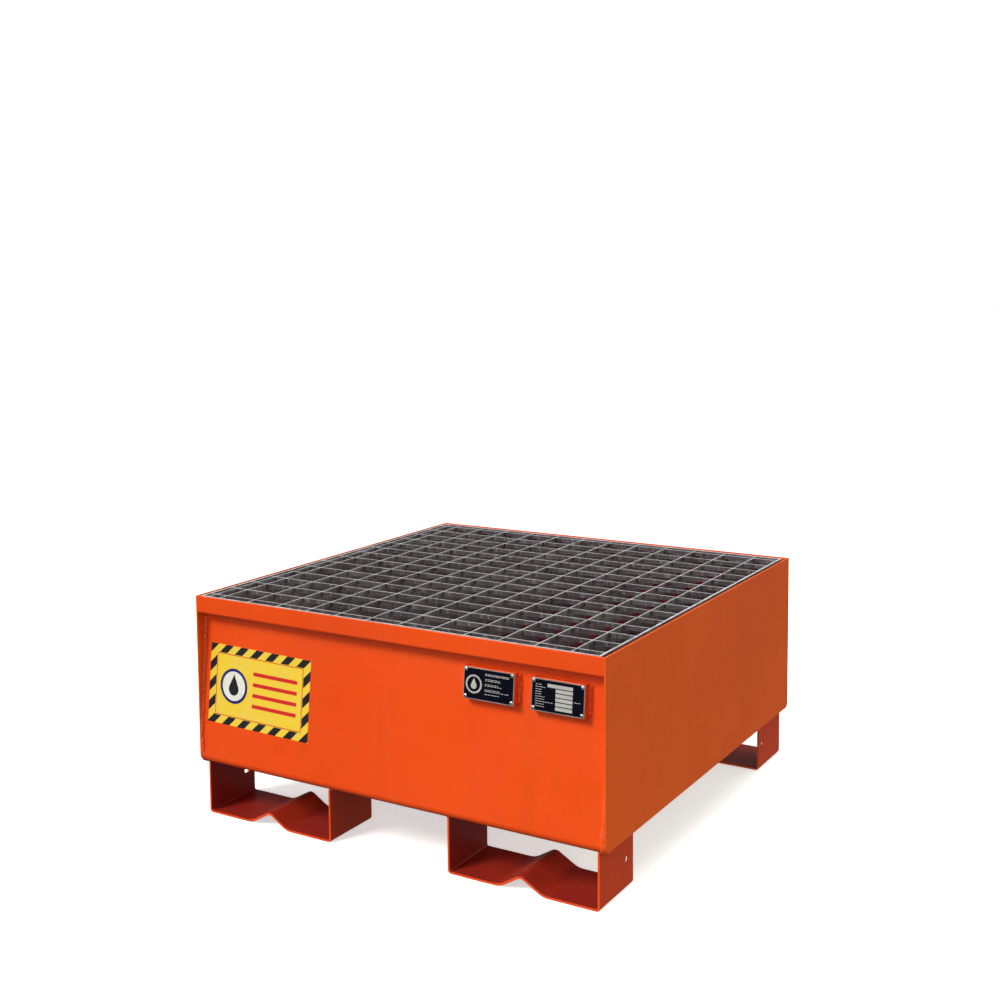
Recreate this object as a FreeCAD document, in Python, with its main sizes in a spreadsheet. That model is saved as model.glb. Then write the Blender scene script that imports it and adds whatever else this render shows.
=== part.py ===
import FreeCAD, Part
import os

import Sketcher

# Spill containment pallet for one 200 litre drum: a welded sheet steel tank on four folded feet,
# with a galvanised grating that lies loose on the tank's ledges and lifts straight out.
#
# Frame: millimetres, +Z up, origin on the floor under the centre of the tank. The front, with the
# nameplates and the label, faces -Y. +X is the right-hand side seen from the front.

Vector = FreeCAD.Vector
Rotation = FreeCAD.Rotation
Placement = FreeCAD.Placement

DOC = FreeCAD.newDocument("spill_containment_pallet")
SUB_PARTS = []

LEFT, RIGHT = -1, 1
FRONT, REAR = -1, 1
SIDE_NAMES = {LEFT: "left", RIGHT: "right"}
END_NAMES = {FRONT: "front", REAR: "rear"}

DRIVING_DIMENSIONS = [
    # tank
    ("tank_length", 860.0, "along X, over the side plates"),
    ("tank_width", 860.0, "along Y, over the rims"),
    ("overall_height", 420.0, "floor to rim"),
    ("sheet_thickness", 3.0, "tank sheet and side plates"),
    ("rim_height", 33.0, "upstand of the front and rear rim"),
    ("rim_strip_start", 5.0, "lower edge of the straight rim strip above the underside of the ledge"),
    ("ledge_width", 25.0, "rim face to the top of the sloping wall"),
    ("wall_overhang", 1.4, "sharp lower corner of the wall beyond the rim face"),
    ("rim_bend_radius", 4.5, "outside radius, rim to ledge"),
    ("throat_bend_radius", 2.0, "outside face radius, ledge to wall"),
    ("floor_bend_radius", 15.0, "outside radius, wall to floor"),
    ("plate_clearance", 2.5, "side plate edge above the underside of the floor"),
    ("plate_corner_radius", 12.0, "lower corners of the side plates"),
    # feet
    ("foot_height", 98.0, "floor to the underside of the tank"),
    ("foot_thickness", 4.0, "folded strip"),
    ("foot_length", 290.0, "along X, over the two legs"),
    ("foot_depth", 124.0, "along Y"),
    ("foot_side_inset", 14.6, "outer leg behind the side plate face"),
    ("foot_end_inset", 7.5, "foot behind the rim face"),
    ("foot_corner_radius", 7.0, "outside radius of the leg bends"),
    ("vee_start", 104.0, "outer leg to the first bend of the raised vee"),
    ("vee_peak", 147.0, "outer leg to the top of the vee"),
    ("vee_end", 187.0, "outer leg to the last bend of the vee"),
    ("vee_height", 24.0, "underside of the vee above the floor"),
    ("vee_base_radius", 42.0, "underside radius at the base of the vee"),
    ("vee_peak_radius", 11.0, "underside radius at the top of the vee"),
    ("foot_hole_diameter", 13.0, "through the outer leg"),
    ("foot_hole_inset", 22.5, "hole centre from the inner end of the foot"),
    ("foot_hole_height", 50.0, "hole centre above the floor"),
    # grating
    ("grating_length", 840.0, "along X, over the frame"),
    ("grating_width", 840.0, "along Y, over the frame"),
    ("grating_height", 30.0, "frame and bearing bars"),
    ("grating_shift_x", -1.0, "centre of the grating in the tank"),
    ("grating_shift_y", -5.5, "centre of the grating in the tank"),
    ("frame_bar_thickness", 4.0, "banding bars round the grating"),
    ("bearing_bar_thickness", 2.0, "bars along Y"),
    ("bearing_bar_pitch", 67.4, "centre to centre along X"),
    ("bearing_bar_count", 12.0, "bars at the regular pitch"),
    ("bearing_bar_shift", -4.8, "middle of the regular bars from the middle of the grating"),
    ("edge_bar_inset", 17.0, "extra bearing bar from the outside of the left frame bar"),
    ("cross_bar_thickness", 2.0, "bars along X"),
    ("cross_bar_height", 8.0, "cross bars, flush in the tops of the bearing bars"),
    ("cross_bar_pitch", 56.6, "centre to centre along Y"),
    ("cross_bar_count", 15.0, "cross bars"),
    # nameplates, their brackets and the label
    ("bracket_length", 99.0, "along X, over the legs"),
    ("bracket_height", 55.0, "along the wall"),
    ("bracket_depth", 15.5, "front face off the wall"),
    ("bracket_thickness", 2.0, "folded strip"),
    ("bracket_bend_radius", 3.0, "outside radius"),
    ("bracket_level", 340.0, "centre above the floor"),
    ("left_bracket_x", 212.5, "centre of the left bracket"),
    ("right_bracket_x", 342.2, "centre of the right bracket"),
    ("nameplate_length", 97.5, "along X"),
    ("nameplate_height", 53.0, "along the wall"),
    ("nameplate_thickness", 1.0, "aluminium sheet"),
    ("rivet_inset", 4.2, "rivet centre from both edges of the nameplate"),
    ("rivet_head_radius", 3.2, "rivet head"),
    ("rivet_head_height", 1.2, "rivet head"),
    ("rivet_radius", 1.6, "rivet shank"),
    ("rivet_core_radius", 0.9, "hollow in the middle of the head"),
    ("rivet_hole_radius", 1.7, "hole in the nameplate and the bracket"),
    ("label_length", 239.0, "along X"),
    ("label_height", 149.5, "along the wall"),
    ("label_thickness", 0.3, "self-adhesive film"),
    ("label_x", -292.0, "centre of the label"),
    ("label_level", 252.5, "centre of the label above the floor"),
    ("label_tilt", -0.8, "degrees, turned clockwise seen from the front"),
    # weld beads
    ("seam_leg", 5.0, "fillet along the wall and the side plate"),
    ("seam_end_gap", 10.0, "end of the fillet below the ledge"),
    ("corner_bead_radius", 5.0, "bead round the lower corner, flush with the side plate"),
    ("corner_bead_rise", 2.0, "crown of that bead above the sheet"),
    ("foot_bead_leg", 4.0, "fillet between foot and tank"),
    ("bracket_bead_leg", 5.0, "fillet between bracket and wall"),
    ("bead_end_margin", 2.0, "end of a short fillet from the end of its joint"),
]


def make_sheet():
    """Spreadsheet with one row per driving dimension: name, value with its alias, meaning."""
    sheet = DOC.addObject("Spreadsheet::Sheet", "dimensions")
    for row, (alias, value, meaning) in enumerate(DRIVING_DIMENSIONS, start=1):
        sheet.set(f"A{row}", alias)
        sheet.set(f"B{row}", str(value))
        sheet.set(f"C{row}", meaning)
        sheet.setAlias(f"B{row}", alias)
    DOC.recompute()
    return sheet


SHEET = make_sheet()


def size(alias):
    """Value of a driving dimension."""
    return float(getattr(SHEET, alias))


def formula(text):
    """Expression text in which every driving dimension is written as {alias}."""
    names = {alias: f"dimensions.{alias}" for alias, _, _ in DRIVING_DIMENSIONS}
    return text.format(**names)


def bind(target, **formulas):
    """Bind properties to formulas; a double underscore stands for a dot in the property's path."""
    for path, text in formulas.items():
        target.setExpression(path.replace("__", "."), formula(text))


def sub_part(shape_object, label):
    """Register an object as a finished piece under the label that names its file."""
    shape_object.Label = label
    SUB_PARTS.append(shape_object)
    return shape_object


# ---- sketches -------------------------------------------------------------------------------

ORIGIN_POINT = (-1, 1)
START, END = 1, 2


def draw_chain(sketch, corners, closed=False):
    """Straight lines through corners whose two coordinates are formulas. Returns the line numbers."""
    count = len(corners)
    steps = [(i, i + 1) for i in range(count - 1)]
    if closed:
        steps.append((count - 1, 0))
    first_guess = [Vector(7 * i, 3 * i * i, 0) for i in range(count)]
    lines = [sketch.addGeometry(Part.LineSegment(first_guess[a], first_guess[b]), False)
             for a, b in steps]
    for before, after in zip(lines, lines[1:]):
        sketch.addConstraint(Sketcher.Constraint("Coincident", before, END, after, START))
    if closed:
        sketch.addConstraint(Sketcher.Constraint("Coincident", lines[-1], END, lines[0], START))
    starts = [(line, START) for line in lines]
    if not closed:
        starts.append((lines[-1], END))
    for (line, point), coordinates in zip(starts, corners):
        for kind, text in zip(("DistanceX", "DistanceY"), coordinates):
            number = sketch.addConstraint(
                Sketcher.Constraint(kind, *ORIGIN_POINT, line, point, 1.0))
            sketch.setExpression(f"Constraints[{number}]", formula(text))
    DOC.recompute()
    return lines


def round_corner(sketch, line, radius_alias):
    """Round the corner at the end of a line, keeping the sharp corner as a reference point."""
    radius = size(radius_alias)
    old_count = sketch.GeometryCount
    sketch.fillet(line, END, radius, True, True)
    arc = next(i for i in range(old_count, sketch.GeometryCount)
               if isinstance(sketch.Geometry[i], Part.ArcOfCircle))
    number = sketch.addConstraint(Sketcher.Constraint("Radius", arc, radius))
    sketch.setExpression(f"Constraints[{number}]", formula("{" + radius_alias + "}"))


def add_circle(sketch, x_text, y_text, radius_alias):
    """Circle whose centre and radius follow formulas."""
    circle = sketch.addGeometry(Part.Circle(Vector(1, 1, 0), Vector(0, 0, 1), 1.0), False)
    centre = 3
    for kind, text in (("DistanceX", x_text), ("DistanceY", y_text)):
        number = sketch.addConstraint(Sketcher.Constraint(kind, *ORIGIN_POINT, circle, centre, 1.0))
        sketch.setExpression(f"Constraints[{number}]", formula(text))
    number = sketch.addConstraint(Sketcher.Constraint("Radius", circle, 1.0))
    sketch.setExpression(f"Constraints[{number}]", formula("{" + radius_alias + "}"))


def make_body(name):
    return DOC.addObject("PartDesign::Body", name)


def body_sketch(body, name, role):
    """Empty sketch on one of the body's own origin planes."""
    plane = next(item for item in body.Origin.OriginFeatures if item.Role == role)
    sketch = body.newObject("Sketcher::SketchObject", name)
    sketch.AttachmentSupport = [(plane, "")]
    sketch.MapMode = "FlatFace"
    return sketch


def origin_axis(body, role):
    return next(item for item in body.Origin.OriginFeatures if item.Role == role)


def make_pad(body, name, sketch, length_text, symmetric=False, reverse=False):
    """Pad of a sketch by a length formula."""
    pad = body.newObject("PartDesign::Pad", name)
    pad.Profile = sketch
    pad.setExpression("Length", formula(length_text))
    if symmetric:
        pad.SideType = "Symmetric"
    pad.Reversed = reverse
    return pad


def free_sketch(name, placement):
    """Sketch outside any body, for the centre line of a folded sheet."""
    sketch = DOC.addObject("Sketcher::SketchObject", name)
    sketch.Placement = placement
    return sketch


def fold_sheet(name, outline, thickness_text, length_text):
    """Folded sheet: the outline thickened to one side and drawn out evenly both ways."""
    section = DOC.addObject("Part::Offset2D", name + "_section")
    section.Source = outline
    section.Mode = "Skin"
    section.Join = "Intersection"
    section.Fill = True
    section.setExpression("Value", formula(thickness_text))
    folded = DOC.addObject("Part::Extrusion", name + "_folded")
    folded.Base = section
    folded.DirMode = "Normal"
    folded.Solid = True
    folded.Symmetric = True
    folded.setExpression("LengthFwd", formula(length_text))
    return folded


def make_box(name, length_text, width_text, height_text, low_corner):
    """Box along the axes from three size formulas and the formulas of its low corner."""
    box = DOC.addObject("Part::Box", name)
    bind(box, Length=length_text, Width=width_text, Height=height_text)
    bind(box, Placement__Base__x=low_corner[0], Placement__Base__y=low_corner[1],
         Placement__Base__z=low_corner[2])
    return box


def cut(name, base, tool):
    result = DOC.addObject("Part::Cut", name)
    result.Base = base
    result.Tool = tool
    return result


def group(name, members):
    """Separate solids kept together in one piece."""
    result = DOC.addObject("Part::Compound", name)
    result.Links = members
    return result


# Sketch plane with its x along Y and its y along Z, normal +X.
CROSS_SECTION = Placement(Vector(0, 0, 0), Rotation(Vector(1, 1, 1), 120))
# Sketch plane with its x along X and its y along Z, normal -Y.
ELEVATION = Placement(Vector(0, 0, 0), Rotation(Vector(1, 0, 0), 90))

# ---- the sloping front wall -----------------------------------------------------------------

LEDGE_UNDERSIDE = "({overall_height} - {rim_height})"
RIM_STRIP_START = f"({LEDGE_UNDERSIDE} + {{rim_strip_start}})"
WALL_RISE = "({overall_height} - {rim_height} - {foot_height})"
WALL_RUN = "({ledge_width} + {wall_overhang})"
WALL_ANGLE = f"atan({WALL_RUN} / {WALL_RISE})"


def wall_face_y(level_text):
    """Formula of the front wall's outside face at a height above the floor."""
    return (f"-({{tank_width}} / 2 + {{wall_overhang}})"
            f" + {WALL_RUN} / {WALL_RISE} * ({level_text} - {{foot_height}})")


def put_on_wall(piece, x_text, level_text):
    """Place a piece on the front wall's face: its x along X, its z up the slope, -y outwards."""
    piece.Placement = Placement(Vector(0, 0, 0), Rotation(Vector(1, 0, 0), 0))
    bind(piece, Placement__Base__x=x_text, Placement__Base__y=wall_face_y(level_text),
         Placement__Base__z=level_text)
    piece.setExpression("Placement.Rotation", formula(f"rotation(vector(1; 0; 0); -{WALL_ANGLE})"))


# ---- tank -----------------------------------------------------------------------------------


def tank_shell():
    """Sheet folded into ledge, sloping wall and floor, and the same again at the rear.

    The straight upper part of each rim belongs to the same sheet. It is a piece of its own, so
    that its collision hull doesn't fill the corner in which the grating sits.
    """
    outline = free_sketch("tank_shell_outline", CROSS_SECTION)
    rim_face = "{tank_width} / 2"
    wall_top = "({tank_width} / 2 - {ledge_width})"
    wall_foot = "({tank_width} / 2 + {wall_overhang})"
    front_half = [("-" + rim_face, RIM_STRIP_START), ("-" + rim_face, LEDGE_UNDERSIDE),
                  ("-" + wall_top, LEDGE_UNDERSIDE), ("-" + wall_foot, "{foot_height}")]
    rear_half = [(wall_foot, "{foot_height}"), (wall_top, LEDGE_UNDERSIDE),
                 (rim_face, LEDGE_UNDERSIDE), (rim_face, RIM_STRIP_START)]
    lines = draw_chain(outline, front_half + rear_half)
    radii = ["rim_bend_radius", "throat_bend_radius", "floor_bend_radius"]
    for line, radius_alias in zip(lines, radii + radii[::-1]):
        round_corner(outline, line, radius_alias)
    shell = fold_sheet("tank_shell", outline, "-{sheet_thickness}",
                       "{tank_length} - 2 * {sheet_thickness}")
    return sub_part(shell, "tank_shell")


def rim_strip(end):
    """Straight upper part of the front or rear rim."""
    low_y = "-{tank_width} / 2"
    if end == REAR:
        low_y = "{tank_width} / 2 - {sheet_thickness}"
    name = f"rim_{END_NAMES[end]}"
    strip = make_box(name, "{tank_length} - 2 * {sheet_thickness}", "{sheet_thickness}",
                     f"{{overall_height}} - {RIM_STRIP_START}",
                     ("-{tank_length} / 2 + {sheet_thickness}", low_y, RIM_STRIP_START))
    return sub_part(strip, name)


def side_plate(side):
    """Flat plate that closes one end of the folded sheet."""
    name = f"side_plate_{SIDE_NAMES[side]}"
    body = make_body(name)
    sketch = body_sketch(body, name + "_outline", "YZ_Plane")
    edge = "{tank_width} / 2"
    lower_edge = "{foot_height} + {plate_clearance}"
    corners = [("-" + edge, "{overall_height}"), ("-" + edge, lower_edge),
               (edge, lower_edge), (edge, "{overall_height}")]
    lines = draw_chain(sketch, corners, closed=True)
    for line in lines[:2]:
        round_corner(sketch, line, "plate_corner_radius")
    make_pad(body, name + "_pad", sketch, "{sheet_thickness}", reverse=side == RIGHT)
    bind(body, Placement__Base__x=f"{side} * {{tank_length}} / 2")
    return sub_part(body, name)


def foot(end, side):
    """Strip folded into two legs and a sole with a raised vee, with a hole in the outer leg."""
    name = f"foot_{END_NAMES[end]}_{SIDE_NAMES[side]}"
    outline = free_sketch(name + "_outline", ELEVATION)
    outer = "({tank_length} / 2 - {foot_side_inset})"
    corners = [(outer, "{foot_height}"), (outer, "0"), (outer + " - {vee_start}", "0"),
               (outer + " - {vee_peak}", "{vee_height}"), (outer + " - {vee_end}", "0"),
               (outer + " - {foot_length}", "0"), (outer + " - {foot_length}", "{foot_height}")]
    lines = draw_chain(outline, [(f"{side} * ({x})", z) for x, z in corners])
    radii = ["foot_corner_radius", "vee_base_radius", "vee_peak_radius", "vee_base_radius",
             "foot_corner_radius"]
    for line, radius_alias in zip(lines, radii):
        round_corner(outline, line, radius_alias)
    strip = fold_sheet(name, outline, f"{-side} * {{foot_thickness}}", "{foot_depth}")
    middle = f"{end} * ({{tank_width}} / 2 - {{foot_end_inset}} - {{foot_depth}} / 2)"
    bind(strip, Placement__Base__y=middle)

    drill = DOC.addObject("Part::Cylinder", name + "_drill")
    drill.Placement = Placement(Vector(0, 0, 0), Rotation(Vector(0, 1, 0), 90))
    hole_y = f"{end} * ({{tank_width}} / 2 - {{foot_end_inset}} - {{foot_depth}} + {{foot_hole_inset}})"
    bind(drill, Radius="{foot_hole_diameter} / 2", Height="3 * {foot_thickness}",
         Placement__Base__x=f"{side} * {outer} - 1.5 * {{foot_thickness}}",
         Placement__Base__y=hole_y, Placement__Base__z="{foot_hole_height}")
    return sub_part(cut(name + "_drilled", strip, drill), name)


# ---- weld beads -----------------------------------------------------------------------------


def fillet_bead(name, legs, length_text):
    """Three-cornered fillet in its own body: legs along x and y, drawn out evenly along z."""
    body = make_body(name)
    sketch = body_sketch(body, name + "_section", "XY_Plane")
    draw_chain(sketch, [("0", "0"), (legs[0], "0"), ("0", legs[1])], closed=True)
    make_pad(body, name + "_pad", sketch, length_text, symmetric=True)
    return body


def beyond_rim(end):
    """Block of the space beyond the rim face, where no weld stands out."""
    low_y = "{tank_width} / 2"
    if end == FRONT:
        low_y = "-{tank_width} / 2 - {tank_width} / 10"
    return make_box(f"beyond_rim_{END_NAMES[end]}", "{tank_length}", "{tank_width} / 10",
                    "{overall_height}", ("-{tank_length} / 2", low_y, "0"))


def wall_seam(end, side, beyond):
    """Fillet in the corner between sloping wall and side plate, flush with the rim face lower down."""
    name = f"seam_{END_NAMES[end]}_{SIDE_NAMES[side]}"
    top = f"({LEDGE_UNDERSIDE} - {{seam_end_gap}})"
    bottom = "({foot_height} + {floor_bend_radius} + {seam_end_gap} / 2)"
    middle = f"(({top} + {bottom}) / 2)"
    body = fillet_bead(name, (f"{-side} * {{seam_leg}}", f"{end} * {{seam_leg}}"),
                       f"({top} - {bottom}) / cos({WALL_ANGLE})")
    bind(body, Placement__Base__x=f"{side} * ({{tank_length}} / 2 - {{sheet_thickness}})",
         Placement__Base__y=f"{-end} * ({wall_face_y(middle)})", Placement__Base__z=middle)
    body.setExpression("Placement.Rotation",
                       formula(f"rotation(vector(1; 0; 0); {end} * {WALL_ANGLE})"))
    return cut(name + "_flush", body, beyond)


def corner_bead(end, side, shell, plate):
    """Round bead that follows the bend of the sheet round the lower corner of the side plate."""
    name = f"corner_bead_{END_NAMES[end]}_{SIDE_NAMES[side]}"
    ring = DOC.addObject("Part::Torus", name + "_ring")
    ring.Angle3 = 90
    # The quarter ring runs from straight down to straight out at the front or the rear.
    turn = 0 if end == REAR else -90
    ring.Placement = Placement(Vector(0, 0, 0), Rotation(Vector(1, 0, 0), turn).multiply(
        Rotation(Vector(0, 1, 0), 90)))
    bend_centre_y = "({tank_width} / 2 - {floor_bend_radius})"
    bind(ring, Radius1="{floor_bend_radius} - {corner_bead_radius} + {corner_bead_rise}",
         Radius2="{corner_bead_radius}",
         Placement__Base__x=f"{side} * ({{tank_length}} / 2 - {{corner_bead_radius}})",
         Placement__Base__y=f"{end} * {bend_centre_y}",
         Placement__Base__z="{foot_height} + {floor_bend_radius}")
    inside = DOC.addObject("Part::Cylinder", name + "_inside")
    inside.Placement = Placement(Vector(0, 0, 0), Rotation(Vector(0, 1, 0), 90))
    bind(inside, Radius="{floor_bend_radius} - {sheet_thickness} / 2", Height="{tank_length}",
         Placement__Base__x="-{tank_length} / 2", Placement__Base__y=f"{end} * {bend_centre_y}",
         Placement__Base__z="{foot_height} + {floor_bend_radius}")
    outer_half = cut(name + "_outer_half", ring, inside)
    clear_of_shell = cut(name + "_off_shell", outer_half, shell)
    return cut(name + "_off_plate", clear_of_shell, plate)


def seam_weld(end, side, shell, plate, beyond):
    """Weld that joins the folded sheet to one side plate at one end."""
    name = f"seam_weld_{END_NAMES[end]}_{SIDE_NAMES[side]}"
    members = [wall_seam(end, side, beyond), corner_bead(end, side, shell, plate)]
    return sub_part(group(name, members), name)


def foot_weld_beads():
    """Fillets under the tank along the outside of every foot leg."""
    members = []
    length = "{foot_depth} - 2 * {bead_end_margin}"
    leg = "{foot_bead_leg}"
    for end in (FRONT, REAR):
        for side in (LEFT, RIGHT):
            faces = {"outer": ("({tank_length} / 2 - {foot_side_inset})", side),
                     "inner": ("({tank_length} / 2 - {foot_side_inset} - {foot_length})", -side)}
            for place, (distance, outwards) in faces.items():
                name = f"foot_bead_{END_NAMES[end]}_{SIDE_NAMES[side]}_{place}"
                bead = fillet_bead(name, (f"{outwards} * {leg}", leg), length)
                bead.Placement = Placement(Vector(0, 0, 0), Rotation(Vector(1, 0, 0), -90))
                middle = f"{end} * ({{tank_width}} / 2 - {{foot_end_inset}} - {{foot_depth}} / 2)"
                bind(bead, Placement__Base__x=f"{side} * {distance}", Placement__Base__y=middle,
                     Placement__Base__z="{foot_height}")
                members.append(bead)
    return sub_part(group("foot_weld_beads", members), "foot_weld_beads")


# ---- nameplates and label -------------------------------------------------------------------

RIVET_X = "({nameplate_length} / 2 - {rivet_inset})"
RIVET_Z = "({nameplate_height} / 2 - {rivet_inset})"
RIVET_PLACES = [(LEFT, -1), (RIGHT, -1), (LEFT, 1), (RIGHT, 1)]


def rivet_drills(name, length_text):
    """Four drills that run out from the wall through a bracket and its nameplate."""
    drills = []
    for number, (side, level) in enumerate(RIVET_PLACES, start=1):
        drill = DOC.addObject("Part::Cylinder", f"{name}_drill_{number}")
        drill.Placement = Placement(Vector(0, 0, 0), Rotation(Vector(1, 0, 0), 90))
        bind(drill, Radius="{rivet_hole_radius}", Height=length_text,
             Placement__Base__x=f"{side} * {RIVET_X}", Placement__Base__z=f"{level} * {RIVET_Z}")
        drills.append(drill)
    return group(name + "_drills", drills)


def nameplate_bracket(side):
    """Strip folded into a shallow channel that stands the nameplate off the sloping wall."""
    name = f"nameplate_bracket_{SIDE_NAMES[side]}"
    outline = free_sketch(name + "_outline", Placement())
    half = "{bracket_length} / 2"
    lines = draw_chain(outline, [("-" + half, "0"), ("-" + half, "-{bracket_depth}"),
                                 (half, "-{bracket_depth}"), (half, "0")])
    for line in lines[:2]:
        round_corner(outline, line, "bracket_bend_radius")
    channel = fold_sheet(name, outline, "-{bracket_thickness}", "{bracket_height}")
    drilled = cut(name + "_drilled", channel, rivet_drills(name, "2 * {bracket_depth}"))
    put_on_wall(drilled, f"{{{SIDE_NAMES[side]}_bracket_x}}", "{bracket_level}")
    return sub_part(drilled, name)


def nameplate(side):
    """Aluminium plate with a hole near each corner."""
    name = f"nameplate_{SIDE_NAMES[side]}"
    body = make_body(name)
    outline = body_sketch(body, name + "_outline", "XZ_Plane")
    half_length = "{nameplate_length} / 2"
    half_height = "{nameplate_height} / 2"
    draw_chain(outline, [("-" + half_length, "-" + half_height), (half_length, "-" + half_height),
                         (half_length, half_height), ("-" + half_length, half_height)], closed=True)
    for corner_side, level in RIVET_PLACES:
        add_circle(outline, f"{corner_side} * {RIVET_X}", f"{level} * {RIVET_Z}",
                   "rivet_hole_radius")
    outline.setExpression("AttachmentOffset.Base.z", formula("{bracket_depth}"))
    make_pad(body, name + "_pad", outline, "{nameplate_thickness}")
    put_on_wall(body, f"{{{SIDE_NAMES[side]}_bracket_x}}", "{bracket_level}")
    return sub_part(body, name)


def rivet(name, side, level):
    """Blind rivet: a hollow shank behind a low domed head, turned about the line off the wall."""
    body = make_body(name)
    sketch = body_sketch(body, name + "_section", "YZ_Plane")
    seat = "-({bracket_depth} + {nameplate_thickness})"
    back = "-({bracket_depth} - {bracket_thickness} - 1)"
    crown = f"({seat} - {{rivet_head_height}})"
    rim = f"({seat} - {{rivet_head_height}} / 3)"
    corners = [(back, "{rivet_core_radius}"), (crown, "{rivet_core_radius}"),
               (crown, "{rivet_head_radius} * 0.55"), (rim, "{rivet_head_radius}"),
               (seat, "{rivet_head_radius}"), (seat, "{rivet_radius}"), (back, "{rivet_radius}")]
    draw_chain(sketch, corners, closed=True)
    turned = body.newObject("PartDesign::Revolution", name + "_turned")
    turned.Profile = sketch
    turned.ReferenceAxis = (origin_axis(body, "Y_Axis"), [""])
    turned.Angle = 360
    bind(body, Placement__Base__x=f"{side} * {RIVET_X}", Placement__Base__z=f"{level} * {RIVET_Z}")
    return body


def nameplate_rivets(side):
    """The four rivets of one nameplate."""
    name = f"nameplate_rivets_{SIDE_NAMES[side]}"
    members = [rivet(f"{name}_{number}", corner_side, level)
               for number, (corner_side, level) in enumerate(RIVET_PLACES, start=1)]
    rivets = group(name, members)
    put_on_wall(rivets, f"{{{SIDE_NAMES[side]}_bracket_x}}", "{bracket_level}")
    return sub_part(rivets, name)


def bracket_weld_beads():
    """Fillets along both legs of both nameplate brackets."""
    members = []
    for bracket_side in (LEFT, RIGHT):
        for side in (LEFT, RIGHT):
            name = f"bracket_bead_{SIDE_NAMES[bracket_side]}_{SIDE_NAMES[side]}"
            bead = fillet_bead(name, (f"{side} * {{bracket_bead_leg}}", "-{bracket_bead_leg}"),
                               "{bracket_height} - 2 * {bead_end_margin}")
            centre = f"{{{SIDE_NAMES[bracket_side]}_bracket_x}}"
            put_on_wall(bead, f"{centre} + {side} * {{bracket_length}} / 2", "{bracket_level}")
            members.append(bead)
    return sub_part(group("bracket_weld_beads", members), "bracket_weld_beads")


def safety_label():
    """Printed film on the sloping wall, turned a little on its face."""
    sheet = make_box("label_film", "{label_length}", "{label_thickness}", "{label_height}",
                     ("-{label_length} / 2", "-{label_thickness}", "-{label_height} / 2"))
    turned = group("label_turned", [sheet])
    turned.setExpression("Placement.Rotation",
                         formula("rotation(vector(0; -1; 0); {label_tilt})"))
    placed = group("safety_label", [turned])
    put_on_wall(placed, "{label_x}", "{label_level}")
    return sub_part(placed, "safety_label")


# ---- grating --------------------------------------------------------------------------------

GRATING_BOTTOM = "({overall_height} - {grating_height})"
GRATING_LEFT = "({grating_shift_x} - {grating_length} / 2)"
GRATING_FRONT = "({grating_shift_y} - {grating_width} / 2)"
INNER_LENGTH = "({grating_length} - 2 * {frame_bar_thickness})"
INNER_WIDTH = "({grating_width} - 2 * {frame_bar_thickness})"


def end_frame_bar(end):
    """Banding bar across the ends of the bearing bars."""
    low_y = GRATING_FRONT
    if end == REAR:
        low_y = f"{GRATING_FRONT} + {{grating_width}} - {{frame_bar_thickness}}"
    name = f"grating_frame_{END_NAMES[end]}"
    bar = make_box(name, "{grating_length}", "{frame_bar_thickness}", "{grating_height}",
                   (GRATING_LEFT, low_y, GRATING_BOTTOM))
    return sub_part(bar, name)


def side_frame_bar(side):
    """Banding bar across the ends of the cross bars."""
    low_x = GRATING_LEFT
    if side == RIGHT:
        low_x = f"{GRATING_LEFT} + {{grating_length}} - {{frame_bar_thickness}}"
    name = f"grating_frame_{SIDE_NAMES[side]}"
    bar = make_box(name, "{frame_bar_thickness}", INNER_WIDTH, "{grating_height}",
                   (low_x, f"{GRATING_FRONT} + {{frame_bar_thickness}}", GRATING_BOTTOM))
    return sub_part(bar, name)


def cross_bar_y(number_text):
    """Formula of a cross bar's middle, counted from 0 at the front."""
    return (f"({{grating_shift_y}}"
            f" + ({number_text} - ({{cross_bar_count}} - 1) / 2) * {{cross_bar_pitch}})")


def bearing_bar_x(number):
    """Formula of a bearing bar's middle: number 0 is the extra bar at the left edge."""
    if number == 0:
        return f"({GRATING_LEFT} + {{edge_bar_inset}})"
    return (f"({{grating_shift_x}} + {{bearing_bar_shift}}"
            f" + ({number} - ({{bearing_bar_count}} + 1) / 2) * {{bearing_bar_pitch}})")


def bearing_bar(number):
    """Upright bar along Y, slotted from above for every cross bar."""
    name = f"bearing_bar_{number + 1:02d}"
    body = make_body(name)
    outline = body_sketch(body, name + "_outline", "YZ_Plane")
    front = f"{GRATING_FRONT} + {{frame_bar_thickness}}"
    rear = f"{front} + {INNER_WIDTH}"
    draw_chain(outline, [(front, GRATING_BOTTOM), (rear, GRATING_BOTTOM),
                         (rear, "{overall_height}"), (front, "{overall_height}")], closed=True)
    make_pad(body, name + "_pad", outline, "{bearing_bar_thickness}", symmetric=True)

    slot_sketch = body_sketch(body, name + "_slot_outline", "YZ_Plane")
    slot_floor = "{overall_height} - {cross_bar_height}"
    slot_front = f"{cross_bar_y('0')} - {{cross_bar_thickness}} / 2"
    slot_rear = f"{cross_bar_y('0')} + {{cross_bar_thickness}} / 2"
    draw_chain(slot_sketch, [(slot_front, slot_floor), (slot_rear, slot_floor),
                             (slot_rear, "{overall_height}"), (slot_front, "{overall_height}")],
               closed=True)
    slot = body.newObject("PartDesign::Pocket", name + "_slot")
    slot.Profile = slot_sketch
    slot.SideType = "Symmetric"
    slot.setExpression("Length", formula("{bearing_bar_thickness} + 2"))

    slots = body.newObject("PartDesign::LinearPattern", name + "_slots")
    slots.Originals = [slot]
    slots.Direction = (origin_axis(body, "Y_Axis"), [""])
    bind(slots, Length="{cross_bar_pitch} * ({cross_bar_count} - 1)",
         Occurrences="{cross_bar_count}")
    body.Tip = slots
    bind(body, Placement__Base__x=bearing_bar_x(number))
    return sub_part(body, name)


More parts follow.
